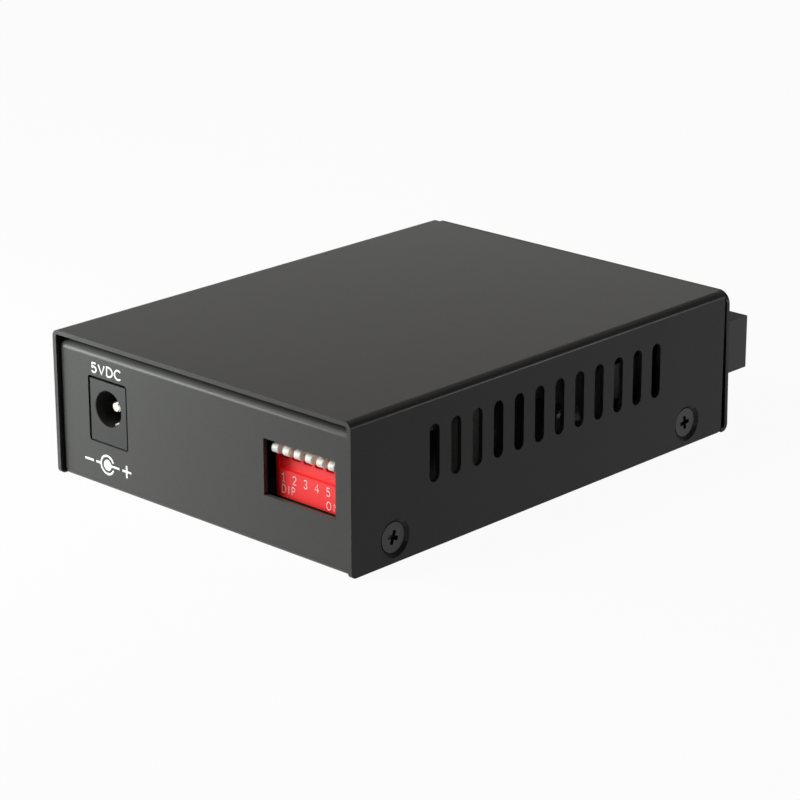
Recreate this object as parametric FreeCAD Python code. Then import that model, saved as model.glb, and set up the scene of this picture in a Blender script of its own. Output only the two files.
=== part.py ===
import FreeCAD
import Part
import math
import os

# Fibre media converter: a folded steel case that holds one circuit board, with a power
# jack and a six-way piano DIP switch at one end and the copper and fibre ports at the
# other.  Millimetres.  The origin is under the middle of the case, +Z is up, +Y points
# at the port end and -Y at the power end.

Vector = FreeCAD.Vector

nearness = 0.05                # an edge this close to a corner belongs to it
past = 1.0                     # cutters run this far past the faces that they cut

# Sides of the polygons that small repeated round features are drawn with.
pin_sides = 6
peg_sides = 8
shaft_sides = 12
screw_sides = 20
slot_end_steps = 5             # straight steps round each half-round end of a slot

# ---- Case: a tray (floor, power panel, port plate) under a three-sided cover ----
case_width = 71.0
cover_length = 95.0
case_height = 26.4
sheet = 0.8
bend_radius = 0.5              # inside of every fold
wall_lift = 0.2                # side walls end this far above the underside
wall_corner_radius = 1.0

panel_recess = 0.85            # power panel inside the cover's rear edge
panel_side_gap = 0.3
panel_top_gap = 1.1            # below the inside of the roof
panel_flange = 7.0             # stiffening fold along the panel's top

plate_gap = 0.5                # cover edge to port plate, at the plate's top
plate_lean = 1.4               # degrees that the plate's foot stands out
plate_top_step = 0.2           # plate ends this far below the top of the roof
plate_corner_radius = 2.3
plate_side_clearance = 0.15    # cover edge to the plate's full-width fold

vent_count = 12
vent_pitch = 5.14
vent_width = 2.35
vent_height = 10.0
vent_top_margin = 5.0          # below the top of the roof

# ---- Cover screws: countersunk, in dimples that nest against tapped tabs ----
screw_end_margin = 10.0        # from the cover's end
screw_level = 4.2              # above the side wall's lower edge
screw_head_diameter = 5.2
screw_head_height = 1.0
screw_thread_diameter = 3.0
screw_length = 5.0
screw_sink = 0.5               # head below the cover's face
screw_recess_width = 0.75
screw_recess_reach = 2.4
screw_recess_depth = 0.8
screw_clearance = 0.05
screw_hole_clearance = 0.2
screw_first_turn = 20.0        # degrees that the first screw was left turned
screw_turn_step = 25.0
countersink_diameter = 6.7
countersink_depth = 1.5
dimple_depth = 0.9
dimple_rim = 0.9
tab_length = 10.0
tab_height = 8.0
tab_root = 4.0                 # strip of floor that belongs to the tab's fold
tab_gap = 0.1
tab_relief = 1.0
tab_corner_chamfer = 2.0
collar_length = 1.2
collar_wall = 0.8

# ---- Circuit board on four standoffs ----
standoff_height = 5.9
standoff_diameter = 5.0
board_thickness = 1.6
board_side_gap = 1.4
board_rear_gap = 0.6
board_front_gap = 0.8
standoff_side_inset = 4.5
standoff_rear_inset = 16.5
standoff_front_inset = 31.5
board_screw_head_diameter = 5.5
board_screw_crown_diameter = 3.9
board_screw_head_height = 2.0
board_screw_length = 6.0
pin_hole_clearance = 0.2       # all round a pin or screw that passes through the board
pin_tail = 1.2                 # pins stand out this far under the board

# ---- Power jack ----
jack_side_inset = 12.77        # bore axis from the near side of the case
jack_width = 9.0
jack_height = 11.0
jack_length = 14.2
jack_flange = 3.4
jack_flange_step = 0.4
jack_mouth_chamfer = 0.1
jack_bore_diameter = 6.4
jack_bore_height = 6.25        # bore axis above the board
jack_bore_depth = 10.0
jack_set_back = 0.1            # face behind the panel's outer face
jack_pin_diameter = 2.0
jack_pin_set_back = 1.7
jack_pin_taper = 0.25
jack_rivet_diameter = 3.0
jack_rivet_height = 0.4
jack_side_clearance = 0.4
jack_top_clearance = 0.5
jack_floor_clearance = 0.3
jack_hole_corner = 0.6
jack_spring_width = 1.6
jack_spring_thickness = 0.3
jack_spring_reach = 8.8
jack_spring_seat = 0.2         # leaf's ends above the bore's wall
jack_spring_pin_gap = 0.9
jack_spring_crest = 0.6        # share of the leaf's length from its fixed end to its bow
jack_spring_turn = 22.0        # degrees round the bore from straight below
jack_tab_width = 2.2
jack_tab_thickness = 0.4
jack_tab_inset = 0.5           # rear tab's middle from the back of the metal
jack_tab_spacing = 6.0

# ---- Piano DIP switch ----
dip_side_inset = 12.33         # middle of the switch from its side of the case
dip_positions = 6
dip_pitch = 2.54
dip_end_wall = 0.8
dip_crown = 0.5                # red moulding over the lever slots
dip_depth = 8.0
dip_base_height = 0.2          # base below the red moulding
dip_base_inset = 1.0           # base inside the moulding, all round
dip_base_bite = 1.2            # base up inside the moulding
dip_set_back = 2.5             # number face behind the panel's outer face
dip_ledge_height = 4.7         # top of the number face above its foot
dip_step = 0.7                 # lever field behind the number face
dip_edge_chamfer = 0.25
dip_row_spacing = 5.08
dip_pin_width = 0.5
window_width = 16.2
window_rise = 0.7              # window sill above the board
window_height = 9.8

lever_width = 1.3
lever_side_gap = 0.25
lever_pivot_height = 7.8       # above the moulding's foot
lever_pivot_depth = 3.6        # behind the number face
lever_hub_radius = 1.0
lever_reach = 4.6              # pivot to the middle of the tip
lever_tip_radius = 0.85
lever_up_angle = 10.5          # degrees above level when up
lever_swing = 16.0             # degrees from up to down
lever_slot_gap = 0.15          # over and under the lever at the ends of its swing
lever_back_gap = 0.6
trunnion_diameter = 1.0
trunnion_bite = 0.25           # length inside each wall of the slot
trunnion_clearance = 0.1
lever_arc_steps = 6

# ---- Copper port ----
rj45_side_inset = 23.0
rj45_width = 16.0
rj45_height = 13.4
rj45_length = 21.3
rj45_proud = 0.6               # beyond the port plate
rj45_sheet = 0.3
rj45_mouth_width = 11.8
rj45_mouth_height = 6.9
rj45_mouth_depth = 13.5
rj45_mouth_sill = 3.9          # mouth's floor above the board
rj45_latch_width = 6.2
rj45_latch_height = 1.5
rj45_key_width = 3.6
rj45_key_height = 1.1
rj45_frame = 0.9               # shield's rim round the mouth
rj45_contacts = 8
rj45_contact_pitch = 1.02
rj45_contact_width = 0.45
rj45_contact_thickness = 0.3
rj45_contact_set_back = 4.8
rj45_contact_drop = 2.4
rj45_contact_nose = 1.0        # level length before the contact slopes
rj45_pin_inset = 3.5           # rear row of pins from the back of the jack
rj45_pin_row_spacing = 2.54
rj45_peg_forward = 2.0         # pegs in front of the jack's middle
rj45_shield_gap = 0.05
rj45_peg_diameter = 3.2
rj45_peg_spacing = 11.43

# ---- Fibre transceiver with its duplex receptacle ----
fibre_side_inset = 17.3
fibre_width = 25.4
fibre_height = 9.8
fibre_length = 39.6
fibre_overhang = 11.25         # beyond the port plate
fibre_receptacle_length = 17.0
fibre_port_spacing = 12.7
fibre_port_width = 9.2
fibre_port_height = 7.6
fibre_port_depth = 12.5
fibre_key_width = 2.8
fibre_key_height = 0.7
fibre_sleeve_diameter = 4.6
fibre_sleeve_bore = 2.5
fibre_sleeve_length = 7.0
fibre_sleeve_floor = 1.0       # sleeve left solid behind its bore
fibre_module_step = 0.5
fibre_pins = 9
fibre_pin_pitch = 2.54
fibre_pin_width = 0.46
fibre_pin_inset = 3.0
fibre_peg_diameter = 1.9
fibre_peg_spacing = 20.32
fibre_peg_inset = 1.5          # from the back of the receptacle
port_hole_clearance = 0.2

# ---- Indicator lamps ----
lamp_side_inset = 8.5
lamp_columns = 2
lamp_rows = 3
lamp_pitch = 4.2
lamp_diameter = 3.0
lamp_lowest = 3.2              # lowest lamp's axis above the board
lamp_holder_margin = 2.1
lamp_holder_depth = 6.0
lamp_holder_gap = 0.5          # behind the port plate
lamp_proud = 0.4
lamp_seat_depth = 4.0
lamp_hole_clearance = 0.15
lamp_lead_width = 0.5
lamp_lead_spacing = 1.27
lamp_lead_step = 1.27
lamp_lead_rear_gap = 0.9       # first row of leads behind the holder
lamp_chamfer = 0.6

# ---- Parts on the board: length across, length along, height ----
chip_side = 14.0
chip_height = 1.4
chip_leads_per_side = 10
chip_lead_pitch = 1.27
chip_lead_width = 0.4
chip_lead_reach = 1.0
chip_stand_off = 0.1
chip_lead_thickness = 0.15
power_row_inset = 20.0         # row of power parts from the board's rear edge
memory_across = 4.0
memory_along = 5.0
memory_height = 1.5
transformer_across = 15.0
transformer_along = 8.6
transformer_height = 5.4
crystal_across = 11.4
crystal_along = 4.7
crystal_height = 3.5
capacitor_diameter = 6.3
capacitor_height = 7.7
capacitor_base_height = 1.0
capacitor_count = 3
capacitor_spacing = 8.0
inductor_side = 7.3
inductor_height = 4.5
inductor_chamfer = 1.2
regulator_across = 6.5
regulator_along = 3.5
regulator_height = 1.6
passive_length = 1.6
passive_width = 0.8
passive_height = 0.5
passive_columns = 6
passive_pitch = 2.4
passive_row_gap = 4.0          # row's middle from the chip's side

# ---- Places that follow from the sizes above ----
half_width = case_width / 2
jack_place = jack_side_inset - half_width
rj45_place = rj45_side_inset - half_width
lamp_place = lamp_side_inset - half_width
dip_place = half_width - dip_side_inset
fibre_place = half_width - fibre_side_inset
wall_inner = half_width - sheet
cover_end = cover_length / 2
roof_inner = case_height - sheet
panel_face = panel_recess - cover_end
panel_inner = panel_face + sheet
panel_half_width = wall_inner - panel_side_gap
panel_top = roof_inner - panel_top_gap
plate_top = case_height - plate_top_step
plate_slope = math.tan(math.radians(plate_lean))
screw_z = wall_lift + screw_level
screw_y = cover_end - screw_end_margin
tab_outer = wall_inner - dimple_depth - tab_gap
tab_inner = tab_outer - sheet
board_bottom = sheet + standoff_height
board_top = board_bottom + board_thickness
board_half_width = tab_inner - board_side_gap
board_rear = panel_inner + board_rear_gap
pin_bottom = board_bottom - pin_tail
jack_face = panel_face + jack_set_back
jack_axis_z = board_top + jack_bore_height
dip_face = panel_face + dip_set_back
dip_bottom = board_top + dip_base_height
slot_width = lever_width + 2 * lever_side_gap
dip_width = (dip_positions - 1) * dip_pitch + slot_width + 2 * dip_end_wall
lever_y = dip_face + lever_pivot_depth
lever_z = dip_bottom + lever_pivot_height
lever_up = math.radians(lever_up_angle)
lever_down = math.radians(lever_swing - lever_up_angle)
lever_throat = lever_pivot_depth - dip_step
lever_taper = (lever_hub_radius - lever_tip_radius) / lever_reach
lever_neck = lever_hub_radius - lever_taper * lever_throat
slot_over = lever_throat * math.tan(lever_up) + lever_neck / math.cos(lever_up) + lever_slot_gap
slot_under = lever_throat * math.tan(lever_down) + lever_neck / math.cos(lever_down) + lever_slot_gap
dip_top = lever_z + slot_over + dip_crown
window_bottom = board_top + window_rise


def plate_outer(z):
    return cover_end + plate_gap + sheet + (plate_top - z) * plate_slope


def plate_inner(z):
    return plate_outer(z) - sheet / math.cos(math.radians(plate_lean))


board_front = plate_inner(board_top) - board_front_gap
board_middle = (board_front + board_rear) / 2
rj45_face = plate_outer(board_top) + rj45_proud
fibre_face = plate_outer(board_top) + fibre_overhang
fibre_rear = fibre_face - fibre_length
lamp_holder_face = plate_inner(plate_top) - lamp_holder_gap
lamp_holder_height = lamp_lowest + (lamp_rows - 1) * lamp_pitch + lamp_holder_margin


# ---- Small building blocks ----
def spot(axis, u, v, along):
    if axis == "X":
        return Vector(along, u, v)
    if axis == "Y":
        return Vector(u, along, v)
    return Vector(u, v, along)


def flat(axis, point):
    if axis == "X":
        return point.y, point.z
    if axis == "Y":
        return point.x, point.z
    return point.x, point.y


def box(x, y, z):
    return Part.makeBox(x[1] - x[0], y[1] - y[0], z[1] - z[0], Vector(x[0], y[0], z[0]))


def around(middle, size):
    return middle - size / 2, middle + size / 2


def rod(axis, u, v, radius, start, end):
    direction = spot(axis, 0, 0, 1)
    return Part.makeCylinder(radius, end - start, spot(axis, u, v, start), direction)


def polygon(u, v, radius, sides):
    angles = [2 * math.pi * (index + 0.5) / sides for index in range(sides)]
    return [(u + radius * math.cos(angle), v + radius * math.sin(angle)) for angle in angles]


def arc_steps(u, v, radius, start, end, steps):
    angles = [math.radians(start + (end - start) * index / steps) for index in range(steps + 1)]
    return [(u + radius * math.cos(angle), v + radius * math.sin(angle)) for angle in angles]


def prism(axis, outline, start, end):
    corners = [spot(axis, u, v, start) for u, v in outline]
    face = Part.Face(Part.makePolygon(corners + corners[:1]))
    return face.extrude(spot(axis, 0, 0, end - start))


def pin(axis, u, v, radius, start, end, sides):
    # A many-sided pin inside a circle of the radius.
    return prism(axis, polygon(u, v, radius, sides), start, end)


def bore(axis, u, v, radius, start, end, sides):
    # A many-sided hole outside a circle of the radius, so that the pin's clearance is kept.
    return prism(axis, polygon(u, v, radius / math.cos(math.pi / sides), sides), start, end)


def taper(axis, u, v, first, last, start, end, sides):
    # A many-sided cone between two radii, closed from its flat sides and two ends.
    lower = [spot(axis, a, b, start) for a, b in polygon(u, v, first, sides)]
    upper = [spot(axis, a, b, end) for a, b in polygon(u, v, last, sides)]
    rings = [lower, upper]
    for here in range(sides):
        there = (here + 1) % sides
        rings.append([lower[here], lower[there], upper[there], upper[here]])
    faces = [Part.Face(Part.makePolygon(ring + ring[:1])) for ring in rings]
    return Part.makeSolid(Part.makeShell(faces))


def edges_at(solid, axis, corners):
    found = []
    for edge in solid.Edges:
        ends = [flat(axis, vertex.Point) for vertex in edge.Vertexes]
        for corner in corners:
            if len(ends) == 2 and all(math.dist(end, corner) < nearness for end in ends):
                found.append(edge)
    return found


def joined(pieces):
    return pieces[0].fuse(pieces[1:]).removeSplitter()


def offset_corners(corners, distance):
    # Moves an open outline to its left by the distance, with sharp corners.
    normals = []
    for (u0, v0), (u1, v1) in zip(corners, corners[1:]):
        length = math.hypot(u1 - u0, v1 - v0)
        normals.append(((v0 - v1) / length, (u1 - u0) / length))
    moved = []
    for index, (u, v) in enumerate(corners):
        before = normals[max(index - 1, 0)]
        after = normals[min(index, len(normals) - 1)]
        share = distance / (1 + before[0] * after[0] + before[1] * after[1])
        moved.append((u + share * (before[0] + after[0]), v + share * (before[1] + after[1])))
    return moved


def folded_strip(axis, outer, start, end):
    # A sheet folded along its inner corners; the metal lies left of the outer corners.
    inner = offset_corners(outer, sheet)
    strip = prism(axis, outer + inner[::-1], start, end)
    strip = strip.makeFillet(bend_radius + sheet, edges_at(strip, axis, outer[1:-1]))
    return strip.makeFillet(bend_radius, edges_at(strip, axis, inner[1:-1]))


def round_holes(places, width, sides):
    radius = width / 2 + pin_hole_clearance
    through = (board_bottom - past, board_top + past)
    return [bore("Z", x, y, radius, *through, sides) for x, y in places]


def square_holes(places, width):
    side = width + 2 * pin_hole_clearance
    through = (board_bottom - past, board_top + past)
    return [box(around(x, side), around(y, side), through) for x, y in places]


def square_pins(places, width):
    return [box(around(x, width), around(y, width), (pin_bottom, board_top))
            for x, y in places]


def pegs(places, diameter):
    return [pin("Z", x, y, diameter / 2, pin_bottom, board_top, peg_sides) for x, y in places]


# ---- Case ----
def screw_spots():
    return [(side, y) for side in (-1, 1) for y in (-screw_y, screw_y)]


def turned_to_side(shape, side, y, z):
    # Shapes made for the +X side at the origin, set at (y, z) on either side.
    placed = shape.copy()
    if side < 0:
        placed.rotate(Vector(0, 0, 0), Vector(0, 0, 1), 180)
    placed.translate(Vector(0, y, z))
    return placed


def cover():
    outline = [
        (half_width, wall_lift), (half_width, case_height),
        (-half_width, case_height), (-half_width, wall_lift),
    ]
    shell = folded_strip("Y", outline, -cover_end, cover_end)
    corners = [(-cover_end, wall_lift), (cover_end, wall_lift)]
    shell = shell.makeFillet(wall_corner_radius, edges_at(shell, "X", corners))
    funnel = countersink_diameter / 2
    throat = screw_thread_diameter / 2 + screw_hole_clearance
    cup_start = wall_inner - dimple_depth
    cup = taper("X", 0, 0, throat + dimple_rim, funnel + dimple_rim / 2,
                cup_start, wall_inner, screw_sides)
    sink = taper("X", 0, 0, throat, funnel, half_width - countersink_depth, half_width,
                 screw_sides)
    hole = pin("X", 0, 0, throat, cup_start - past, half_width, screw_sides)
    shell = shell.fuse([turned_to_side(cup, side, y, screw_z) for side, y in screw_spots()])
    cuts = [turned_to_side(sink.fuse(hole), side, y, screw_z) for side, y in screw_spots()]
    return shell.cut(cuts + vents())


def vents():
    # Each cutter runs right through, so it makes the slot in both side walls.
    radius = vent_width / 2
    top = case_height - vent_top_margin - radius
    bottom = top - vent_height + vent_width
    first = -(vent_count - 1) * vent_pitch / 2
    slots = []
    for index in range(vent_count):
        y = first + index * vent_pitch
        outline = arc_steps(y, top, radius, 0, 180, slot_end_steps)
        outline += arc_steps(y, bottom, radius, 180, 360, slot_end_steps)
        slots.append(prism("X", outline, -half_width - past, half_width + past))
    return slots


def tray_tab(side, y):
    outline = [(tab_outer - tab_root, 0), (tab_outer, 0), (tab_outer, tab_height)]
    tab = folded_strip("Y", outline, -tab_length / 2, tab_length / 2)
    corners = [(-tab_length / 2, tab_height), (tab_length / 2, tab_height)]
    tab = tab.makeChamfer(tab_corner_chamfer, edges_at(tab, "X", corners))
    thread = screw_thread_diameter / 2 + screw_clearance
    start = tab_inner - collar_length
    collar = pin("X", 0, screw_z, thread + collar_wall, start, tab_outer, shaft_sides)
    hole = bore("X", 0, screw_z, thread, start - past, tab_outer + past, peg_sides)
    return turned_to_side(tab.fuse(collar).cut(hole), side, y, 0)


def base_tray():
    outline = [
        (panel_face + panel_flange, panel_top), (panel_face, panel_top), (panel_face, 0),
        (plate_outer(0), 0), (plate_outer(plate_top), plate_top),
    ]
    tray = folded_strip("X", outline, -half_width, half_width)
    corners = [(-half_width, plate_top), (half_width, plate_top)]
    tray = tray.makeFillet(plate_corner_radius, edges_at(tray, "Y", corners))
    trims = []
    tabs = []
    for side in (-1, 1):
        strip = sorted((side * panel_half_width, side * (half_width + past)))
        lengthwise = (-cover_end, cover_end + plate_side_clearance)
        trims.append(box(strip, lengthwise, (-past, case_height)))
    for side, y in screw_spots():
        strip = sorted((side * (tab_outer - tab_root), side * half_width))
        trims.append(box(strip, around(y, tab_length + 2 * tab_relief), (-past, sheet + past)))
        tabs.append(tray_tab(side, y))
    tray = tray.cut(trims).fuse(tabs)
    return tray.cut(panel_holes() + plate_holes()).removeSplitter()


def panel_holes():
    through = (panel_face - past, panel_inner + past)
    across = around(jack_place, jack_width + 2 * jack_side_clearance)
    upright = (board_top - jack_floor_clearance, board_top + jack_height + jack_top_clearance)
    corners = [(x, z) for x in across for z in upright]
    jack_hole = box(across, through, upright)
    jack_hole = jack_hole.makeFillet(jack_hole_corner, edges_at(jack_hole, "Y", corners))
    window = box(around(dip_place, window_width), through,
                 (window_bottom, window_bottom + window_height))
    return [jack_hole, window]


def plate_holes():
    ends = (plate_inner(plate_top) - past, plate_outer(0) + past)
    holes = []
    for place, width, height in (
            (rj45_place, rj45_width, rj45_height), (fibre_place, fibre_width, fibre_height)):
        across = around(place, width + 2 * port_hole_clearance)
        upright = (board_top - port_hole_clearance, board_top + height + port_hole_clearance)
        holes.append(box(across, ends, upright))
    radius = lamp_diameter / 2 + lamp_hole_clearance
    return holes + [bore("Y", x, z, radius, ends[0], ends[1], shaft_sides)
                    for x, z in lamp_spots()]


def cover_screws():
    head = screw_head_diameter / 2
    shank = screw_thread_diameter / 2
    cone = taper("X", 0, 0, shank, head, -screw_head_height, 0, screw_sides)
    stem = pin("X", 0, 0, shank, -screw_length, -screw_head_height, peg_sides)
    blank = cone.fuse(stem)
    depth = (-screw_recess_depth, past)
    upright = box(depth, around(0, screw_recess_width), around(0, screw_recess_reach))
    level = box(depth, around(0, screw_recess_reach), around(0, screw_recess_width))
    screw = blank.cut([upright, level])
    screw.translate(Vector(half_width - screw_sink, 0, 0))
    screws = []
    for turn, (side, y) in enumerate(screw_spots()):
        turned = screw.copy()
        turned.rotate(Vector(0, 0, 0), Vector(1, 0, 0), screw_first_turn + screw_turn_step * turn)
        screws.append(turned_to_side(turned, side, y, screw_z))
    return Part.makeCompound(screws)


# ---- Circuit board and what holds it ----
def standoff_spots():
    x = board_half_width - standoff_side_inset
    rear = board_rear + standoff_rear_inset
    front = board_front - standoff_front_inset
    return [(side * x, y) for side in (-1, 1) for y in (rear, front)]


def board_standoffs():
    # Hexagonal posts, tapped right through.
    thread = screw_thread_diameter / 2 + screw_clearance
    posts = []
    for x, y in standoff_spots():
        post = bore("Z", x, y, standoff_diameter / 2, sheet, board_bottom, pin_sides)
        posts.append(post.cut(bore("Z", x, y, thread, sheet, board_bottom, peg_sides)))
    return Part.makeCompound(posts)


def board_screws():
    head = board_screw_head_diameter / 2
    top = board_screw_head_height
    rim = pin("Z", 0, 0, head, 0, top / 2, shaft_sides)
    crown = taper("Z", 0, 0, head, board_screw_crown_diameter / 2, top / 2, top,
                  shaft_sides)
    shank = pin("Z", 0, 0, screw_thread_diameter / 2, -board_screw_length, 0, peg_sides)
    screw = joined([rim, crown, shank])
    return Part.makeCompound(
        [screw.translated(Vector(x, y, board_top)) for x, y in standoff_spots()])


def circuit_board():
    board = box(around(0, 2 * board_half_width), (board_rear, board_front),
                (board_bottom, board_top))
    holes = round_holes(standoff_spots(), screw_thread_diameter, shaft_sides)
    for places, width in (
            (jack_tab_spots(), jack_tab_width), (rj45_peg_spots(), rj45_peg_diameter),
            (fibre_peg_spots(), fibre_peg_diameter)):
        holes += round_holes(places, width, peg_sides)
    for places, width in (
            (dip_pin_spots(), dip_pin_width), (rj45_pin_spots(), rj45_contact_width),
            (fibre_pin_spots(), fibre_pin_width), (lamp_lead_spots(), lamp_lead_width)):
        holes += square_holes(places, width)
    return board.cut(holes)


# ---- Power jack ----
def jack_tab_spots():
    rear = jack_face + jack_length - jack_tab_thickness - jack_tab_inset
    return [(jack_place, rear), (jack_place, rear - jack_tab_spacing)]


def power_jack_housing():
    flange = box(around(jack_place, jack_width), (jack_face, jack_face + jack_flange),
                 (board_top, board_top + jack_height))
    barrel_radius = jack_width / 2 - jack_flange_step
    rear = jack_face + jack_length
    barrel = rod("Y", jack_place, jack_axis_z, barrel_radius, jack_face, rear)
    foot = box(around(jack_place, 2 * barrel_radius), (jack_face, rear), (board_top, jack_axis_z))
    body = joined([flange, barrel, foot])
    bore_end = jack_face + jack_bore_depth
    radius = jack_bore_diameter / 2
    socket = rod("Y", jack_place, jack_axis_z, radius, jack_face - past, bore_end)
    mouth = Part.makeCone(radius + jack_mouth_chamfer, radius, jack_mouth_chamfer,
                          Vector(jack_place, jack_face, jack_axis_z), Vector(0, 1, 0))
    pin_hole = bore("Y", jack_place, jack_axis_z, jack_pin_diameter / 2 + screw_clearance,
                    bore_end - past, rear + past, shaft_sides)
    return body.cut([socket, mouth, pin_hole])


def power_jack_pin():
    # A turned pin with a tapered tip, riveted over behind the housing.
    radius = jack_pin_diameter / 2
    tip = jack_face + jack_pin_set_back
    shoulder = tip + jack_pin_taper
    rear = jack_face + jack_length
    centre = (jack_place, jack_axis_z)
    nose = taper("Y", *centre, radius - jack_pin_taper, radius, tip, shoulder, screw_sides)
    stem = pin("Y", *centre, radius, shoulder, rear, screw_sides)
    rivet = pin("Y", *centre, jack_rivet_diameter / 2, rear, rear + jack_rivet_height,
                screw_sides)
    return joined([nose, stem, rivet])


def power_jack_spring():
    # A bowed leaf low in the bore, made level and then turned about the bore's axis.
    room = (jack_bore_diameter - jack_pin_diameter) / 2
    floor = jack_axis_z - jack_bore_diameter / 2 + jack_spring_seat
    back = jack_face + jack_bore_depth
    bow = room - jack_spring_seat - jack_spring_thickness - jack_spring_pin_gap
    low = [(back, floor), (back - jack_spring_reach * jack_spring_crest, floor + bow),
           (back - jack_spring_reach, floor)]
    high = [(y, z + jack_spring_thickness) for y, z in reversed(low)]
    leaf = prism("X", low + high, jack_place - jack_spring_width / 2,
                 jack_place + jack_spring_width / 2)
    leaf.rotate(Vector(jack_place, 0, jack_axis_z), Vector(0, 1, 0), -jack_spring_turn)
    return leaf


def power_jack_terminals():
    return Part.makeCompound([
        box(around(x, jack_tab_width), around(y, jack_tab_thickness), (pin_bottom, board_top))
        for x, y in jack_tab_spots()])


# ---- Piano DIP switch ----
def lever_spots():
    first = dip_place - (dip_positions - 1) * dip_pitch / 2
    return [first + index * dip_pitch for index in range(dip_positions)]


def dip_pin_spots():
    middle = dip_face + dip_depth / 2
    rows = (middle - dip_row_spacing / 2, middle + dip_row_spacing / 2)
    return [(x, y) for x in lever_spots() for y in rows]


def dip_switch_housing():
    across = around(dip_place, dip_width)
    ledge = dip_bottom + dip_ledge_height
    body = box(across, (dip_face, dip_face + dip_depth), (dip_bottom, dip_top))
    outer = [(x, dip_face) for x in across]
    body = body.makeChamfer(dip_edge_chamfer, edges_at(body, "Z", outer))
    xs = lever_spots()
    field = (xs[0] - slot_width / 2, xs[-1] + slot_width / 2)
    cuts = [box(field, (dip_face - past, dip_face + dip_step), (ledge, dip_top + past))]
    slot_back = lever_y + lever_hub_radius + lever_back_gap
    upright = (lever_z - slot_under, lever_z + slot_over)
    for x in xs:
        cuts.append(box(around(x, slot_width), (dip_face, slot_back), upright))
    bearing = trunnion_diameter / 2 + trunnion_clearance
    reach = trunnion_bite + lever_side_gap
    cuts.append(bore("X", lever_y, lever_z, bearing, field[0] - reach, field[1] + reach,
                     peg_sides))
    return body.cut(cuts + [dip_switch_base()])


def dip_switch_base():
    # Sits in a pocket under the red moulding and holds it off the board.
    rear = dip_face + dip_depth
    return box(around(dip_place, dip_width - 2 * dip_base_inset),
               (dip_face + dip_base_inset, rear - dip_base_inset),
               (board_top, dip_bottom + dip_base_bite))


def dip_switch_terminals():
    return Part.makeCompound(square_pins(dip_pin_spots(), dip_pin_width))


def dip_lever(x):
    # A flat lever, round at its hub and its tip, made level and turned up about its trunnions.
    tilt = math.degrees(math.asin(lever_taper))
    outline = arc_steps(lever_y - lever_reach, lever_z, lever_tip_radius,
                        90 + tilt, 270 - tilt, lever_arc_steps)
    outline += arc_steps(lever_y, lever_z, lever_hub_radius,
                         tilt - 90, 90 + tilt, lever_arc_steps)
    sides = around(x, lever_width)
    lever = prism("X", outline, sides[0], sides[1])
    half_axle = slot_width / 2 + trunnion_bite
    axle = pin("X", lever_y, lever_z, trunnion_diameter / 2, x - half_axle, x + half_axle,
               peg_sides)
    lever = joined([lever, axle])
    lever.rotate(Vector(x, lever_y, lever_z), Vector(1, 0, 0), -lever_up_angle)
    return lever


# ---- Copper port ----
def rj45_pin_spots():
    first = rj45_place - (rj45_contacts - 1) * rj45_contact_pitch / 2
    row = rj45_face - rj45_length + rj45_pin_inset
    return [(first + index * rj45_contact_pitch, row + rj45_pin_row_spacing * (index % 2))
            for index in range(rj45_contacts)]


def rj45_peg_spots():
    y = rj45_face - rj45_length / 2 + rj45_peg_forward
    return [(rj45_place + side * rj45_peg_spacing / 2, y) for side in (-1, 1)]


def rj45_shield():
    rear = rj45_face - rj45_length
    across = around(rj45_place, rj45_width)
    top = board_top + rj45_height
    outer = box(across, (rear, rj45_face), (board_top, top))
    inner = box(around(rj45_place, rj45_width - 2 * rj45_sheet),
                (rear + rj45_sheet, rj45_face - rj45_sheet), (board_top - past, top - rj45_sheet))
    sill = board_top + rj45_mouth_sill
    low = sill - rj45_latch_height - rj45_key_height - rj45_frame / 2
    high = sill + rj45_mouth_height + rj45_frame / 2
    front = box(around(rj45_place, rj45_mouth_width + rj45_frame),
                (rj45_face - past, rj45_face + past), (low, high))
    return outer.cut([inner, front])


def rj45_housing():
    gap = rj45_sheet + rj45_shield_gap
    face = rj45_face - gap
    rear = rj45_face - rj45_length + gap
    body = box(around(rj45_place, rj45_width - 2 * gap), (rear, face),
               (board_top, board_top + rj45_height - gap))
    sill = board_top + rj45_mouth_sill
    mouth_back = face - rj45_mouth_depth
    cuts = [box(around(rj45_place, rj45_mouth_width), (mouth_back, face + past),
                (sill, sill + rj45_mouth_height))]
    latch = sill - rj45_latch_height
    cuts.append(box(around(rj45_place, rj45_latch_width), (mouth_back, face + past), (latch, sill)))
    cuts.append(box(around(rj45_place, rj45_key_width), (mouth_back, face + past),
                    (latch - rj45_key_height, latch)))
    return joined([body.cut(cuts)] + pegs(rj45_peg_spots(), rj45_peg_diameter))


def rj45_contact_set():
    ceiling = board_top + rj45_mouth_sill + rj45_mouth_height
    front = rj45_face - rj45_contact_set_back
    knee = front - rj45_contact_nose
    back = rj45_face - rj45_mouth_depth
    low = ceiling - rj45_contact_thickness
    outline = [(front, ceiling), (front, low), (knee, low), (back, low - rj45_contact_drop),
               (back, ceiling - rj45_contact_drop), (knee, ceiling)]
    springs = []
    for x, y in rj45_pin_spots():
        ends = around(x, rj45_contact_width)
        springs.append(prism("X", outline, ends[0], ends[1]))
    pins = square_pins(rj45_pin_spots(), rj45_contact_width)
    return Part.makeCompound(springs + pins)


# ---- Fibre transceiver ----
def fibre_ports():
    return [fibre_place + side * fibre_port_spacing / 2 for side in (-1, 1)]


def fibre_pin_spots():
    first = fibre_place - (fibre_pins - 1) * fibre_pin_pitch / 2
    return [(first + index * fibre_pin_pitch, fibre_rear + fibre_pin_inset)
            for index in range(fibre_pins)]


def fibre_peg_spots():
    y = fibre_face - fibre_receptacle_length + fibre_peg_inset
    return [(fibre_place + side * fibre_peg_spacing / 2, y) for side in (-1, 1)]


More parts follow.
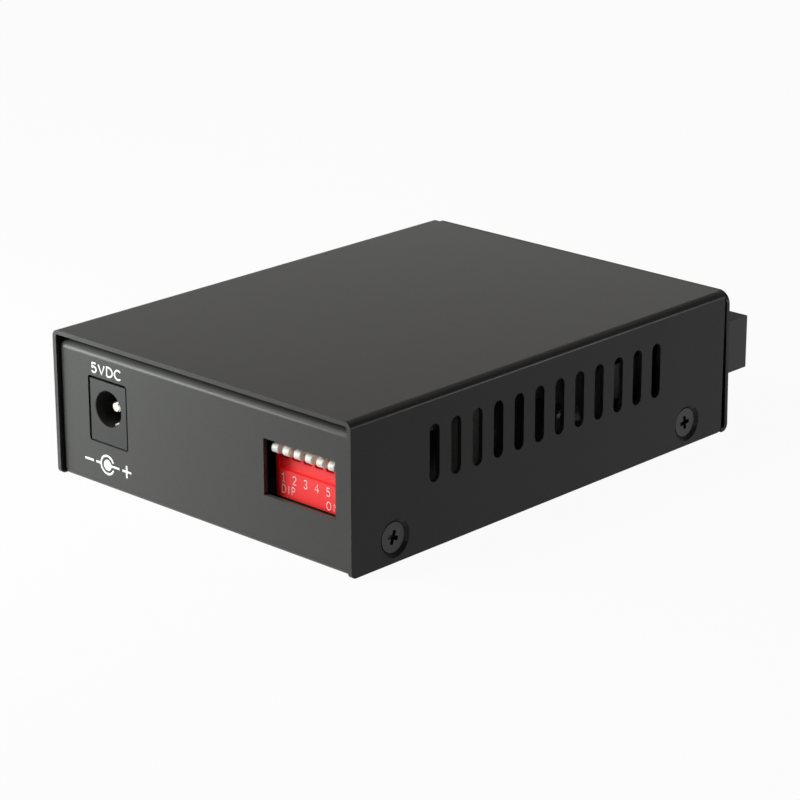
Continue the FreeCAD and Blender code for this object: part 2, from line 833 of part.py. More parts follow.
def fibre_receptacle():
    rear = fibre_face - fibre_receptacle_length
    body = box(around(fibre_place, fibre_width), (rear, fibre_face),
               (board_top, board_top + fibre_height))
    middle = board_top + fibre_height / 2
    cuts = []
    for x in fibre_ports():
        depth = (fibre_face - fibre_port_depth, fibre_face + past)
        cuts.append(box(around(x, fibre_port_width), depth, around(middle, fibre_port_height)))
        top = middle + fibre_port_height / 2
        cuts.append(box(around(x, fibre_key_width), depth, (top, top + fibre_key_height)))
    return joined([body.cut(cuts)] + pegs(fibre_peg_spots(), fibre_peg_diameter))


def fibre_sleeves():
    middle = board_top + fibre_height / 2
    back = fibre_face - fibre_port_depth
    sleeves = []
    for x in fibre_ports():
        front = back + fibre_sleeve_length
        tube = pin("Y", x, middle, fibre_sleeve_diameter / 2, back, front, shaft_sides)
        socket = bore("Y", x, middle, fibre_sleeve_bore / 2, back + fibre_sleeve_floor, front,
                      shaft_sides)
        sleeves.append(tube.cut(socket))
    return Part.makeCompound(sleeves)


def transceiver_module():
    front = fibre_face - fibre_receptacle_length
    across = around(fibre_place, fibre_width - 2 * fibre_module_step)
    upright = (board_top, board_top + fibre_height - fibre_module_step)
    return box(across, (fibre_rear, front), upright)


def transceiver_pins():
    return Part.makeCompound(square_pins(fibre_pin_spots(), fibre_pin_width))


# ---- Indicator lamps ----
def lamp_spots():
    columns = [lamp_place + (index - (lamp_columns - 1) / 2) * lamp_pitch
               for index in range(lamp_columns)]
    rows = [board_top + lamp_lowest + index * lamp_pitch for index in range(lamp_rows)]
    return [(x, z) for x in columns for z in rows]


def lamp_lead_rows():
    # Each lamp's pair of leads drops behind the holder, the higher lamps further back.
    rear = lamp_holder_face - lamp_holder_depth
    rows = []
    for x, z in lamp_spots():
        level = round((z - board_top - lamp_lowest) / lamp_pitch)
        for side in (-1, 1):
            y = rear - lamp_lead_rear_gap - level * lamp_lead_step
            rows.append((x + side * lamp_lead_spacing / 2, y, z))
    return rows


def lamp_lead_spots():
    return [(x, y) for x, y, z in lamp_lead_rows()]


def lamp_holder():
    width = (lamp_columns - 1) * lamp_pitch + 2 * lamp_holder_margin
    rear = lamp_holder_face - lamp_holder_depth
    block = box(around(lamp_place, width), (rear, lamp_holder_face),
                (board_top, board_top + lamp_holder_height))
    seat = lamp_diameter / 2 + lamp_hole_clearance
    floor = lamp_holder_face - lamp_seat_depth
    seats = [bore("Y", x, z, seat, floor, lamp_holder_face + past, shaft_sides)
             for x, z in lamp_spots()]
    return block.cut(seats)


def lamps():
    radius = lamp_diameter / 2
    lenses = []
    for x, z in lamp_spots():
        front = plate_outer(z) + lamp_proud
        shoulder = front - lamp_chamfer
        stem = pin("Y", x, z, radius, lamp_holder_face - lamp_seat_depth, shoulder, shaft_sides)
        nose = taper("Y", x, z, radius, radius - lamp_chamfer, shoulder, front, shaft_sides)
        lenses.append(joined([stem, nose]))
    return Part.makeCompound(lenses)


def lamp_leads():
    rear = lamp_holder_face - lamp_holder_depth
    half = lamp_lead_width / 2
    leads = []
    for x, y, z in lamp_lead_rows():
        outline = [(rear, z + half), (y - half, z + half), (y - half, pin_bottom),
                   (y + half, pin_bottom), (y + half, z - half), (rear, z - half)]
        leads.append(prism("X", outline, x - half, x + half))
    return Part.makeCompound(leads)


# ---- Parts on the board ----
def power_row():
    # Middle of the row of power parts, clear of the jack and the DIP switch.
    return board_rear + power_row_inset


def converter_chip():
    bottom = board_top + chip_stand_off
    return box(around(0, chip_side), around(board_middle, chip_side),
               (bottom, bottom + chip_height))


def converter_chip_leads():
    half = chip_side / 2
    middle_z = board_top + chip_stand_off + chip_height / 2
    foot = half + chip_lead_reach
    outline = [(half, middle_z), (foot, board_top),
               (foot + chip_lead_thickness, board_top + chip_lead_thickness),
               (half, middle_z + chip_lead_thickness)]
    first = -(chip_leads_per_side - 1) * chip_lead_pitch / 2
    leads = []
    for quarter in range(4):
        for index in range(chip_leads_per_side):
            y = first + index * chip_lead_pitch
            lead = prism("Y", outline, y - chip_lead_width / 2, y + chip_lead_width / 2)
            lead.rotate(Vector(0, 0, 0), Vector(0, 0, 1), 90 * quarter)
            lead.translate(Vector(0, board_middle, 0))
            leads.append(lead)
    return Part.makeCompound(leads)


def memory_chip():
    return box(around(chip_side, memory_across), around(board_middle - chip_side / 2, memory_along),
               (board_top, board_top + memory_height))


def isolation_transformer():
    y = rj45_face - rj45_length - transformer_along
    return box(around(rj45_place, transformer_across), around(y, transformer_along),
               (board_top, board_top + transformer_height))


def crystal():
    radius = crystal_along / 2
    x = -chip_side
    straight = crystal_across - crystal_along
    y = board_middle
    outline = arc_steps(x, y + straight / 2, radius, 0, 180, shaft_sides // 2)
    outline += arc_steps(x, y - straight / 2, radius, 180, 360, shaft_sides // 2)
    return prism("Z", outline, board_top, board_top + crystal_height)


def electrolytic_capacitors():
    radius = capacitor_diameter / 2
    y = power_row()
    cans = []
    for index in range(capacitor_count):
        x = (index - (capacitor_count - 1) / 2) * capacitor_spacing
        base = box(around(x, capacitor_diameter), around(y, capacitor_diameter),
                   (board_top, board_top + capacitor_base_height))
        can = pin("Z", x, y, radius, board_top + capacitor_base_height,
                  board_top + capacitor_height, screw_sides)
        cans.append(joined([base, can]))
    return Part.makeCompound(cans)


def power_inductor():
    x = jack_place + jack_width
    y = power_row() + inductor_side
    can = box(around(x, inductor_side), around(y, inductor_side),
              (board_top, board_top + inductor_height))
    corners = [(a, b) for a in around(x, inductor_side) for b in around(y, inductor_side)]
    return can.makeChamfer(inductor_chamfer, edges_at(can, "Z", corners))


def voltage_regulator():
    return box(around(0, regulator_across), around(power_row() - capacitor_diameter, regulator_along),
               (board_top, board_top + regulator_height))


def chip_components():
    pieces = []
    for side in (-1, 1):
        y = board_middle + side * (chip_side / 2 + passive_row_gap)
        for index in range(passive_columns):
            x = (index - (passive_columns - 1) / 2) * passive_pitch
            pieces.append(box(around(x, passive_width), around(y, passive_length),
                              (board_top, board_top + passive_height)))
    return Part.makeCompound(pieces)


def main():
    os.makedirs("parts", exist_ok=True)
    nodes = {
        "base_tray": base_tray(),
        "cover": cover(),
        "cover_screws": cover_screws(),
        "board_standoffs": board_standoffs(),
        "board_screws": board_screws(),
        "circuit_board": circuit_board(),
        "power_jack_housing": power_jack_housing(),
        "power_jack_pin": power_jack_pin(),
        "power_jack_spring": power_jack_spring(),
        "power_jack_terminals": power_jack_terminals(),
        "dip_switch_housing": dip_switch_housing(),
        "dip_switch_base": dip_switch_base(),
        "dip_switch_terminals": dip_switch_terminals(),
        "rj45_shield": rj45_shield(),
        "rj45_housing": rj45_housing(),
        "rj45_contacts": rj45_contact_set(),
        "fibre_receptacle": fibre_receptacle(),
        "fibre_sleeves": fibre_sleeves(),
        "transceiver_module": transceiver_module(),
        "transceiver_pins": transceiver_pins(),
        "lamp_holder": lamp_holder(),
        "lamps": lamps(),
        "lamp_leads": lamp_leads(),
        "converter_chip": converter_chip(),
        "converter_chip_leads": converter_chip_leads(),
        "memory_chip": memory_chip(),
        "isolation_transformer": isolation_transformer(),
        "crystal": crystal(),
        "electrolytic_capacitors": electrolytic_capacitors(),
        "power_inductor": power_inductor(),
        "voltage_regulator": voltage_regulator(),
        "chip_components": chip_components(),
    }
    for number, x in enumerate(lever_spots(), start=1):
        nodes["dip_lever_" + str(number)] = dip_lever(x)
    for name, shape in nodes.items():
        shape.exportStep("parts/" + name + ".step")
        print(name, len(shape.Solids), round(shape.Volume, 2), shape.isValid())


main()
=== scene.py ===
import math

import bmesh
import bpy
from mathutils import Matrix, Vector


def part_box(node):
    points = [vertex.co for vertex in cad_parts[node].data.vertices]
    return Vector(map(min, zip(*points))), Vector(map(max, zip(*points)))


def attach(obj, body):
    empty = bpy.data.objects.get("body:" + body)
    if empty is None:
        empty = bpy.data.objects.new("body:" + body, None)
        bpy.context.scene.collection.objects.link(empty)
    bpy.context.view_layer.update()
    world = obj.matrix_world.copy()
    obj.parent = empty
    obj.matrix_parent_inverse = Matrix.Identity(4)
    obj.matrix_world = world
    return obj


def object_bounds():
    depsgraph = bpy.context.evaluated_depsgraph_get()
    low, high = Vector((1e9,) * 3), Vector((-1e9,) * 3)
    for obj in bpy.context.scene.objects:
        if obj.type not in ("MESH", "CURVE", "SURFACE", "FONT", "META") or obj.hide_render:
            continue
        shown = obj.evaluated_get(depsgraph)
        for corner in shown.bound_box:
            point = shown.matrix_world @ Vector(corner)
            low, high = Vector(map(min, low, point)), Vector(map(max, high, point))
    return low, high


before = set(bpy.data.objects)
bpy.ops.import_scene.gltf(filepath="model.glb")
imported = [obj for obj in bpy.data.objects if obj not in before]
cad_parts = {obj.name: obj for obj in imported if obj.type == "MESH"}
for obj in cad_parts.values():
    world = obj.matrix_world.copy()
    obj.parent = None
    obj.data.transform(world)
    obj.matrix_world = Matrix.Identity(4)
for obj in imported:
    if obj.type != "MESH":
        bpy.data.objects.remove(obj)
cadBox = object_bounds()
mm = 0.001


def linearColour(code):
    # sRGB hex to the linear RGBA that sockets take
    levels = [int(code[place:place + 2], 16) / 255 for place in (1, 3, 5)]
    linear = [v / 12.92 if v <= 0.04045 else ((v + 0.055) / 1.055) ** 2.4 for v in levels]
    return (*linear, 1.0)


def addNode(tree, kind, settings=None, inputs=None):
    # Each input, by its name or place, takes a value or a link from another node's socket
    node = tree.nodes.new(kind)
    for name, value in (settings or {}).items():
        setattr(node, name, value)
    for name, value in (inputs or {}).items():
        socket = node.inputs[name]
        if isinstance(value, bpy.types.NodeSocket):
            tree.links.new(value, socket)
        else:
            socket.default_value = value
    return node


def startMaterial(name):
    material = bpy.data.materials.new(name)
    material.use_nodes = True
    material.node_tree.nodes.clear()
    return material, material.node_tree


noiseSpan = (0.3, 0.7)  # nearly all of a noise's values lie between these
mixFirst, mixSecond, mixResult = 6, 7, 2  # a mix node's sockets for colours


# Epoxy-polyester powder baked on folded steel: satin black, a fine sandy grain on a slow
# orange peel.  The grain is drawn a little coarser than the powder so that it shows.
powderCoat = {
    "colour": "#4d4d4d", "paler": "#555554", "roughness": (0.23, 0.27), "ior": 1.22,
    "grain": 0.26 * mm, "grainDepth": 0.008 * mm, "orangePeel": 1.4 * mm, "peelDepth": 0.004 * mm,
    "detail": 1.0,
}


def makePowderCoatedSteel():
    material, tree = startMaterial("powderCoatedSteel")
    place = addNode(tree, "ShaderNodeTexCoord").outputs["Object"]
    grain = addNode(tree, "ShaderNodeTexNoise", {"noise_dimensions": "3D"}, {
        "Vector": place, "Scale": 1 / powderCoat["grain"], "Detail": powderCoat["detail"]})
    peel = addNode(tree, "ShaderNodeTexNoise", {"noise_dimensions": "3D"}, {
        "Vector": place, "Scale": 1 / powderCoat["orangePeel"], "Detail": powderCoat["detail"]})
    sand = addNode(tree, "ShaderNodeBump", inputs={
        "Height": grain.outputs["Fac"], "Distance": powderCoat["grainDepth"], "Strength": 1.0})
    surface = addNode(tree, "ShaderNodeBump", inputs={
        "Height": peel.outputs["Fac"], "Distance": powderCoat["peelDepth"], "Strength": 1.0,
        "Normal": sand.outputs["Normal"]})
    tone = addNode(tree, "ShaderNodeMix", {"data_type": "RGBA"}, {
        "Factor": grain.outputs["Fac"], mixFirst: linearColour(powderCoat["colour"]),
        mixSecond: linearColour(powderCoat["paler"])})
    roughness = addNode(tree, "ShaderNodeMapRange", inputs={
        "Value": peel.outputs["Fac"], "From Min": noiseSpan[0], "From Max": noiseSpan[1],
        "To Min": powderCoat["roughness"][0], "To Max": powderCoat["roughness"][1]})
    coat = addNode(tree, "ShaderNodeBsdfPrincipled", inputs={
        "Base Color": tone.outputs[mixResult], "IOR": powderCoat["ior"],
        "Roughness": roughness.outputs["Result"], "Normal": surface.outputs["Normal"]})
    addNode(tree, "ShaderNodeOutputMaterial", inputs={"Surface": coat.outputs["BSDF"]})
    return material


# Cast green epoxy lamp bodies: glossy and translucent, unlit
lensEpoxy = {"colour": "#3f9a4c", "ior": 1.5, "roughness": 0.12, "clearness": 0.35, "skin": 0.3}


def makeTintedEpoxyLens():
    material, tree = startMaterial("tintedEpoxyLens")
    lens = addNode(tree, "ShaderNodeBsdfPrincipled", inputs={
        "Base Color": linearColour(lensEpoxy["colour"]), "IOR": lensEpoxy["ior"],
        "Roughness": lensEpoxy["roughness"], "Transmission Weight": lensEpoxy["clearness"],
        "Coat Weight": lensEpoxy["skin"]})
    addNode(tree, "ShaderNodeOutputMaterial", inputs={"Surface": lens.outputs["BSDF"]})
    return material


# Finishes of one make: two near tones and a roughness that follow one noise, and its bump
evenFinishes = {
    # Black passivated zinc on machine screws: darker and slicker than the coat round them
    "blackZincScrew": {
        "colour": "#1c1c1e", "paler": "#2a2a2c", "roughness": (0.28, 0.42), "ior": 1.5,
        "metallic": 0.35, "grain": 0.3 * mm, "depth": 0.006 * mm},
    # Hot tin plate on rolled steel: pale, softly clouded
    "tinPlatedSteel": {
        "colour": "#c4c4c0", "paler": "#d8d8d5", "roughness": (0.22, 0.34), "ior": 1.5,
        "metallic": 1.0, "grain": 1.2 * mm, "depth": 0.003 * mm},
    # Bright nickel over turned brass: warm white and mirror-like
    "nickelPlatedBrass": {
        "colour": "#f2eee6", "paler": "#f8f5ee", "roughness": (0.2, 0.3), "ior": 1.5,
        "metallic": 1.0, "grain": 0.4 * mm, "depth": 0.001 * mm},
    # Gold flash on phosphor bronze contacts: warm yellow, smooth
    "goldFlashedContact": {
        "colour": "#d8b25a", "paler": "#e6c470", "roughness": (0.18, 0.28), "ior": 1.5,
        "metallic": 1.0, "grain": 0.3 * mm, "depth": 0.001 * mm},
    # Green solder mask over woven glass laminate: dark, with a soft gloss
    "solderMaskedBoard": {
        "colour": "#0f2c18", "paler": "#15361f", "roughness": (0.3, 0.42), "ior": 1.5,
        "metallic": 0.0, "grain": 0.6 * mm, "depth": 0.004 * mm},
    # Glass-filled black polyester, injection moulded: low sheen, faint spark-eroded grain
    "mouldedBlackPbt": {
        "colour": "#242424", "paler": "#2d2d2c", "roughness": (0.46, 0.56), "ior": 1.38,
        "metallic": 0.0, "grain": 0.18 * mm, "depth": 0.006 * mm},
    # Red polyester switch body, injection moulded: strong colour under a low sheen
    "mouldedRedPbt": {
        "colour": "#ff1a20", "paler": "#ff2026", "roughness": (0.44, 0.52), "ior": 1.6,
        "metallic": 0.0, "grain": 0.2 * mm, "depth": 0.004 * mm},
    # White acetal levers: waxy, so light from the lit faces shows cream on the shaded ones
    "mouldedWhiteAcetal": {
        "colour": "#f4f0e6", "paler": "#faf7f0", "roughness": (0.28, 0.4), "ior": 1.48,
        "metallic": 0.0, "grain": 0.3 * mm, "depth": 0.002 * mm,
        "wax": {"share": 0.75, "reach": (1.0, 0.88, 0.66), "scale": 1.2 * mm}},
    # Ground zirconia alignment sleeves: dense, off-white
    "zirconiaCeramic": {
        "colour": "#e4e0d4", "paler": "#eeeae0", "roughness": (0.2, 0.3), "ior": 2.1,
        "metallic": 0.0, "grain": 0.3 * mm, "depth": 0.001 * mm},
    # Epoxy mould compound on chips: near black and matt
    "epoxyMouldCompound": {
        "colour": "#242425", "paler": "#2e2e30", "roughness": (0.5, 0.62), "ior": 1.5,
        "metallic": 0.0, "grain": 0.15 * mm, "depth": 0.006 * mm},
    # Drawn aluminium capacitor cans: bright, softly clouded by the draw
    "drawnAluminium": {
        "colour": "#cfd0d2", "paler": "#dddee0", "roughness": (0.22, 0.32), "ior": 1.5,
        "metallic": 1.0, "grain": 0.5 * mm, "depth": 0.002 * mm},
    # Matt white epoxy ink pushed through a mesh: flat, slightly uneven cover
    "screenPrintInk": {
        "colour": "#f2f2f0", "paler": "#fafaf8", "roughness": (0.5, 0.65), "ior": 1.5,
        "metallic": 0.0, "grain": 0.2 * mm, "depth": 0.002 * mm},
}


def makeEvenFinish(name, finish):
    material, tree = startMaterial(name)
    place = addNode(tree, "ShaderNodeTexCoord").outputs["Object"]
    noise = addNode(tree, "ShaderNodeTexNoise", {"noise_dimensions": "3D"}, {
        "Vector": place, "Scale": 1 / finish["grain"]}).outputs["Fac"]
    surface = addNode(tree, "ShaderNodeBump", inputs={
        "Height": noise, "Distance": finish["depth"], "Strength": 1.0})
    tone = addNode(tree, "ShaderNodeMix", {"data_type": "RGBA"}, {
        "Factor": noise, mixFirst: linearColour(finish["colour"]),
        mixSecond: linearColour(finish["paler"])})
    roughness = addNode(tree, "ShaderNodeMapRange", inputs={
        "Value": noise, "From Min": noiseSpan[0], "From Max": noiseSpan[1],
        "To Min": finish["roughness"][0], "To Max": finish["roughness"][1]})
    shader = addNode(tree, "ShaderNodeBsdfPrincipled", inputs={
        "Base Color": tone.outputs[mixResult], "Metallic": finish["metallic"],
        "IOR": finish["ior"], "Roughness": roughness.outputs["Result"],
        "Normal": surface.outputs["Normal"]})
    wax = finish.get("wax")
    if wax:
        shader.inputs["Subsurface Weight"].default_value = wax["share"]
        shader.inputs["Subsurface Radius"].default_value = wax["reach"]
        shader.inputs["Subsurface Scale"].default_value = wax["scale"]
    addNode(tree, "ShaderNodeOutputMaterial", inputs={"Surface": shader.outputs["BSDF"]})
    return material


materials = {name: makeEvenFinish(name, finish) for name, finish in evenFinishes.items()}
materials["powderCoatedSteel"] = makePowderCoatedSteel()
materials["tintedEpoxyLens"] = makeTintedEpoxyLens()
print("materials made:", len(materials))

# Which pieces have which finish
finishes = {
    "powderCoatedSteel": ["base_tray", "cover"],
    "blackZincScrew": ["cover_screws"],
    "tinPlatedSteel": [
        "board_standoffs", "board_screws", "power_jack_terminals", "dip_switch_terminals",
        "rj45_shield", "transceiver_pins", "lamp_leads", "converter_chip_leads", "crystal"],
    "nickelPlatedBrass": ["power_jack_pin", "power_jack_spring"],
    "goldFlashedContact": ["rj45_contacts"],
    "solderMaskedBoard": ["circuit_board"],
    "mouldedBlackPbt": [
        "power_jack_housing", "dip_switch_base", "rj45_housing", "fibre_receptacle",
        "lamp_holder"],
    "mouldedRedPbt": ["dip_switch_housing"],
    "mouldedWhiteAcetal": [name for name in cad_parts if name.startswith("dip_lever")],
    "zirconiaCeramic": ["fibre_sleeves"],
    "tintedEpoxyLens": ["lamps"],
    "epoxyMouldCompound": [
        "converter_chip", "memory_chip", "isolation_transformer", "power_inductor",
        "voltage_regulator", "chip_components", "transceiver_module"],
    "drawnAluminium": ["electrolytic_capacitors"],
}


def dressNodes():
    for finish, names in finishes.items():
        for name in names:
            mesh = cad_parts[name].data
            mesh.materials.clear()
            mesh.materials.append(materials[finish])


dressNodes()
bare = sorted(set(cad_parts) - {name for names in finishes.values() for name in names})
print("nodes dressed, left bare:", bare)

# The marks are printed on the power panel and on the front of the red switch
jackLow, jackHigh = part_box("power_jack_housing")
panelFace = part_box("base_tray")[0].y
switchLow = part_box("dip_switch_housing")[0]
inkThickness = 0.03 * mm


def printedPiece(name, mesh):
    piece = bpy.data.objects.new(name, mesh)
    bpy.context.scene.collection.objects.link(piece)
    mesh.materials.clear()
    mesh.materials.append(materials["screenPrintInk"])
    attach(piece, "case")
    return piece


def arcPoints(x, z, radiusX, radiusZ, start, end, steps=14):
    angles = [math.radians(start + (end - start) * i / steps) for i in range(steps + 1)]
    return [(x + radiusX * math.cos(a), z + radiusZ * math.sin(a)) for a in angles]


# Each figure is a width and its pen strokes, for a cap height of one
figures = {
    "1": (0.46, [[(0.04, 0.76), (0.26, 1), (0.26, 0)], [(0.06, 0), (0.46, 0)]]),
    "2": (0.54, [arcPoints(0.27, 0.73, 0.25, 0.27, 165, -35) + [(0.02, 0), (0.54, 0)]]),
    "3": (0.52, [arcPoints(0.25, 0.76, 0.22, 0.24, 155, -90)
                 + arcPoints(0.25, 0.26, 0.25, 0.26, 90, -160)]),
    "4": (0.6, [[(0.43, 0), (0.43, 1), (0, 0.3), (0.6, 0.3)]]),
    "5": (0.54, [[(0.48, 1), (0.1, 1), (0.05, 0.52)]
                 + arcPoints(0.26, 0.31, 0.27, 0.31, 128, -150)]),
    "6": (0.54, [arcPoints(0.27, 0.3, 0.25, 0.3, 0, 360),
                 arcPoints(0.33, 0.42, 0.31, 0.58, 180, 75)]),
    "C": (0.68, [arcPoints(0.37, 0.5, 0.36, 0.5, 48, 312, 20)]),
    "D": (0.64, [[(0.02, 0)] + arcPoints(0.22, 0.5, 0.42, 0.5, -90, 90) + [(0.02, 1), (0.02, 0)]]),
    "I": (0.04, [[(0.02, 0), (0.02, 1)]]),
    "N": (0.6, [[(0.02, 0), (0.02, 1), (0.58, 0), (0.58, 1)]]),
    "O": (0.74, [arcPoints(0.37, 0.5, 0.35, 0.5, 0, 360, 28)]),
    "P": (0.5, [[(0.02, 0), (0.02, 1)] + arcPoints(0.24, 0.74, 0.26, 0.26, 90, -90)
                + [(0.02, 0.48)]]),
    "V": (0.66, [[(0, 1), (0.33, 0), (0.66, 1)]]),
}


def inkMesh(name, strokes, width):
    # Pen strokes in the XZ plane as flattened tubes, half sunk in the face that they are on
    curve = bpy.data.curves.new(name, "CURVE")
    curve.dimensions = "3D"
    curve.bevel_depth = width / 2
    curve.bevel_resolution = 1  # six sides to a tube
    curve.use_fill_caps = True
    for stroke in strokes:
        spline = curve.splines.new("POLY")
        spline.points.add(len(stroke) - 1)
        for point, (x, z) in zip(spline.points, stroke):
            point.co = (x, 0, z, 1)
    holder = bpy.data.objects.new(name, curve)
    bpy.context.scene.collection.objects.link(holder)
    bpy.context.view_layer.update()
    mesh = bpy.data.meshes.new_from_object(holder)
    bpy.data.objects.remove(holder)
    mesh.transform(Matrix.Diagonal((1, 2 * inkThickness / width, 1, 1)))
    return mesh


def addInk(name, strokes, width, y):
    mesh = inkMesh(name, strokes, width)
    mesh.transform(Matrix.Translation((0, y, 0)))
    return printedPiece(name, mesh)


def wordStrokes(word, left, foot, height, length, pen, wide=1.0):
    # Spreads the figures evenly between the word's two ends; the pen stays inside its box
    widths = [figures[letter][0] * wide for letter in word]
    tall = height - pen
    gap = 0.0
    if len(word) > 1:
        gap = (length - pen - sum(widths) * tall) / (len(word) - 1)
    strokes = []
    at = left + pen / 2
    for letter, across in zip(word, widths):
        for stroke in figures[letter][1]:
            strokes.append([(at + x * wide * tall, foot + pen / 2 + z * tall)
                            for x, z in stroke])
        at += across * tall + gap
    return strokes


# Places are from the jack's left side and top
rating = {"text": "5VDC", "left": 0.45 * mm, "foot": 1.0 * mm, "height": 2.05 * mm,
          "length": 7.9 * mm, "pen": 0.41 * mm, "wide": 1.42}


def addRating():
    strokes = wordStrokes(rating["text"], jackLow.x + rating["left"], jackHigh.z + rating["foot"],
                          rating["height"], rating["length"], rating["pen"], rating["wide"])
    addInk("ratingMark", strokes, rating["pen"], panelFace)


# Places are from the middle of the ring, which stands under the jack
polarity = {
    "ringX": -0.55 * mm, "ringDrop": 3.9 * mm, "pen": 0.5 * mm, "ringRadius": 1.88 * mm,
    "ringOpening": 48, "ringSteps": 32, "dotRadius": 0.98 * mm, "dotSides": 28,
    "minus": (-5.8 * mm, -3.6 * mm), "leftLine": -2.95 * mm, "rightLine": 3.0 * mm,
    "plusX": 4.9 * mm, "plusSize": 2.25 * mm,
}


def addPolarity():
    # Centre-positive sign: minus, an open ring round a dot, plus
    x = (jackLow.x + jackHigh.x) / 2 + polarity["ringX"]
    z = jackLow.z - polarity["ringDrop"]
    middle = polarity["ringRadius"] - polarity["pen"] / 2
    half = polarity["ringOpening"] / 2  # degrees
    plusX = x + polarity["plusX"]
    arm = polarity["plusSize"] / 2
    strokes = [
        arcPoints(x, z, middle, middle, half, 360 - half, polarity["ringSteps"]),
        [(x + polarity["minus"][0], z), (x + polarity["minus"][1], z)],
        [(x + polarity["leftLine"], z), (x - middle, z)],
        [(x, z), (x + polarity["rightLine"], z)],
        [(plusX - arm, z), (plusX + arm, z)],
        [(plusX, z - arm), (plusX, z + arm)],
    ]
    addInk("polarityMark", strokes, polarity["pen"], panelFace)
    addDot(x, z)


def addDot(x, z):
    # The middle of the ring: a thin disc that stands on the panel.  Its corners are listed round
    # the back and then round the front, so that their order is the same on every run.
    radius, sides = polarity["dotRadius"], polarity["dotSides"]
    rim = arcPoints(x, z, radius, radius, 0, 360, sides)[:-1]
    corners = [(u, y, w) for y in (panelFace, panelFace - inkThickness) for u, w in rim]
    back, front = list(range(sides)), list(range(sides, 2 * sides))
    walls = [(back[i - 1], back[i], front[i], front[i - 1]) for i in range(sides)]
    mesh = bpy.data.meshes.new("polarityDot")
    mesh.from_pydata(corners, [], [back[::-1], front] + walls)
    printedPiece("polarityDot", mesh)


# Heights are from the foot of the red moulding, places from its left end
switchPrint = {
    "figureFoot": 2.6 * mm, "figureHeight": 1.6 * mm, "figurePen": 0.19 * mm,
    "figureShift": 0.15 * mm,
    "dipFoot": 0.7 * mm, "onFoot": 0.35 * mm, "wordHeight": 1.5 * mm, "wordPen": 0.15 * mm,
    "dipLeft": 1.5 * mm, "dipLength": 3.05 * mm, "onLeft": 11.6 * mm, "onLength": 2.6 * mm,
}


def addSwitchPrint():
    face = switchLow.y
    foot = switchLow.z + switchPrint["figureFoot"]
    levers = sorted(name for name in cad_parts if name.startswith("dip_lever"))
    strokes = []
    for number, name in enumerate(levers, start=1):
        low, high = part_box(name)
        across = figures[str(number)][0] * switchPrint["figureHeight"]
        left = (low.x + high.x - across) / 2 + switchPrint["figureShift"]
        strokes += wordStrokes(str(number), left, foot, switchPrint["figureHeight"], 0,
                               switchPrint["figurePen"])
    addInk("switchFigures", strokes, switchPrint["figurePen"], face)
    for name, word in (("switchWordDip", "DIP"), ("switchWordOn", "ON")):
        key = word.lower()
        strokes = wordStrokes(word, switchLow.x + switchPrint[key + "Left"],
                              switchLow.z + switchPrint[key + "Foot"], switchPrint["wordHeight"],
                              switchPrint[key + "Length"], switchPrint["wordPen"])
        addInk(name, strokes, switchPrint["wordPen"], face)


addRating()
addPolarity()
addSwitchPrint()
print("printed marks added")

# The room.  The floor's seen paper and glow, and the world's horizon and overhead, are for rays
# that show the background; the bounce paper and the ambient level are what light the object.
studio = {
    "floorRadius": 3.0, "floorSides": 96, "seenPaper": "#fafafa", "bouncePaper": "#3e3e3e",
    "glow": 0.95, "horizon": 1.0, "overhead": 0.12, "ambient": 0.036,
    "fadeFrom": 0.16, "fadeTo": 0.345,  # sines of the heights between which the white fades
}


def seenDirectly(tree):
    # One for rays that show the background in the picture, in gloss or through glass
    path = addNode(tree, "ShaderNodeLightPath")
    seen = addNode(tree, "ShaderNodeMath", {"operation": "MAXIMUM"},
                   {0: path.outputs["Is Camera Ray"], 1: path.outputs["Is Glossy Ray"]})
    both = addNode(tree, "ShaderNodeMath", {"operation": "MAXIMUM"},
                   {0: seen.outputs[0], 1: path.outputs["Is Transmission Ray"]})
    return both.outputs[0]


def makeFloor():
    # A pale sweep: it scatters light and keeps the shadow, and looks white where it is seen
    mesh = bpy.data.meshes.new("studioFloor")
    work = bmesh.new()
    bmesh.ops.create_circle(work, cap_ends=True, radius=studio["floorRadius"],
                            segments=studio["floorSides"])
    work.to_mesh(mesh)
    work.free()
    floor = bpy.data.objects.new("studioFloor", mesh)
    bpy.context.scene.collection.objects.link(floor)
    material, tree = startMaterial("paleStudioFloor")
    seen = seenDirectly(tree)
    share = addNode(tree, "ShaderNodeMath", {"operation": "MULTIPLY"},
                    {0: seen, 1: studio["glow"]})
    tone = addNode(tree, "ShaderNodeMix", {"data_type": "RGBA"}, {
        "Factor": seen, mixFirst: linearColour(studio["bouncePaper"]),
        mixSecond: linearColour(studio["seenPaper"])})
    paper = addNode(tree, "ShaderNodeBsdfDiffuse", inputs={"Color": tone.outputs[mixResult]})
    glow = addNode(tree, "ShaderNodeEmission", inputs={"Strength": 1.0})
    blend = addNode(tree, "ShaderNodeMixShader", inputs={
        "Fac": share.outputs[0], 1: paper.outputs[0], 2: glow.outputs[0]})
    addNode(tree, "ShaderNodeOutputMaterial", inputs={"Surface": blend.outputs[0]})
    mesh.materials.append(material)


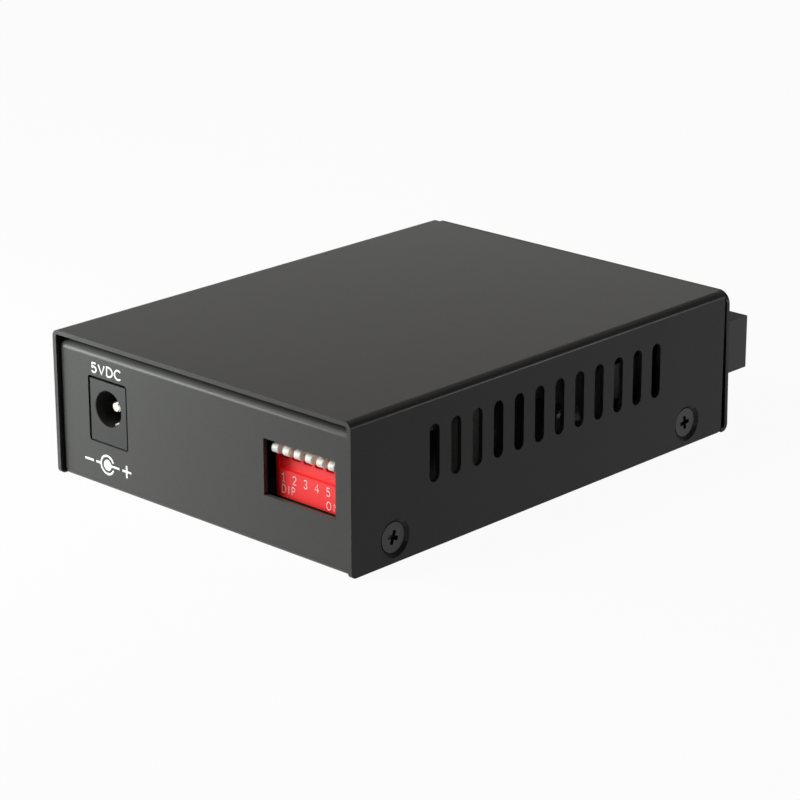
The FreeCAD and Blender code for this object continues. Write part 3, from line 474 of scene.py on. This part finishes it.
def makeWorld():
    # White round the horizon and dimmer overhead, as in a white room with a dark ceiling;
    # what it adds to the light on the object is faint and even
    world = bpy.data.worlds.new("studioRoom")
    bpy.context.scene.world = world
    world.use_nodes = True
    tree = world.node_tree
    tree.nodes.clear()
    place = addNode(tree, "ShaderNodeTexCoord")
    split = addNode(tree, "ShaderNodeSeparateXYZ",
                    inputs={"Vector": place.outputs["Generated"]})
    level = addNode(tree, "ShaderNodeMapRange", {"interpolation_type": "SMOOTHSTEP"}, {
        "Value": split.outputs["Z"], "From Min": studio["fadeFrom"], "From Max": studio["fadeTo"],
        "To Min": studio["horizon"], "To Max": studio["overhead"]})
    strength = addNode(tree, "ShaderNodeMapRange", inputs={
        "Value": seenDirectly(tree), "To Min": studio["ambient"],
        "To Max": level.outputs["Result"]})
    sky = addNode(tree, "ShaderNodeBackground", inputs={
        "Color": linearColour("#ffffff"), "Strength": strength.outputs["Result"]})
    addNode(tree, "ShaderNodeOutputWorld", inputs={"Surface": sky.outputs[0]})


# Directions and distances in metres are from the middle of the case, powers in watts
softboxes = {
    "keySoftbox": {"from": (-0.42, -0.66, 0.62), "distance": 0.9, "width": 0.51, "height": 0.51,
                   "power": 4.9, "colour": "#fffaf2"},
    "nearSoftbox": {"from": (-0.72, -0.69, 0.05), "distance": 0.2, "width": 0.14,
                    "height": 0.08, "power": 0.54, "colour": "#f6fdfc"},
    "backStrip": {"from": (0.735, 0.675, 0.055), "distance": 0.6, "width": 0.115, "height": 0.034,
                  "power": 0.29, "colour": "#ffffff"},
}


def makeSoftboxes():
    aim = (cadBox[0] + cadBox[1]) / 2
    for name, box in softboxes.items():
        lamp = bpy.data.lights.new(name, "AREA")
        lamp.shape = "RECTANGLE"
        lamp.size = box["width"]
        lamp.size_y = box["height"]
        lamp.energy = box["power"]
        lamp.color = linearColour(box["colour"])[:3]
        holder = bpy.data.objects.new(name, lamp)
        bpy.context.scene.collection.objects.link(holder)
        direction = Vector(box["from"]).normalized()
        holder.location = aim + direction * box["distance"]
        holder.rotation_euler = direction.to_track_quat("Z", "Y").to_euler()
        holder.visible_camera = False


# Lens and sensor in millimetres, angles in degrees, lengths in metres
view = {
    "lens": 130.8, "sensor": 36, "shiftX": 0.0275, "azimuth": 43.86, "elevation": 19.08,
    "roll": -0.293, "distance": 509 * mm, "aim": (-1.5 * mm, -2.8 * mm, 10.2 * mm),
    "nearest": 0.01, "farthest": 20,
}


def makeCamera():
    camera = bpy.data.cameras.new("productCamera")
    camera.lens = view["lens"]
    camera.sensor_width = view["sensor"]
    camera.shift_x = view["shiftX"]
    camera.clip_start = view["nearest"]
    camera.clip_end = view["farthest"]
    holder = bpy.data.objects.new("productCamera", camera)
    bpy.context.scene.collection.objects.link(holder)
    turn = math.radians(view["azimuth"])
    rise = math.radians(view["elevation"])
    back = Vector((math.sin(turn) * math.cos(rise), -math.cos(turn) * math.cos(rise),
                   math.sin(rise)))
    right = Vector((math.cos(turn), math.sin(turn), 0))
    axes = Matrix((right, back.cross(right), back)).transposed().to_4x4()
    lean = Matrix.Rotation(math.radians(view["roll"]), 4, "Z")
    place = Vector(view["aim"]) + back * view["distance"]
    holder.matrix_world = Matrix.Translation(place) @ axes @ lean
    bpy.context.scene.camera = holder


makeFloor()
makeWorld()
makeSoftboxes()
makeCamera()
bpy.context.scene.view_settings.view_transform = "Standard"
print("floor, light and camera placed")
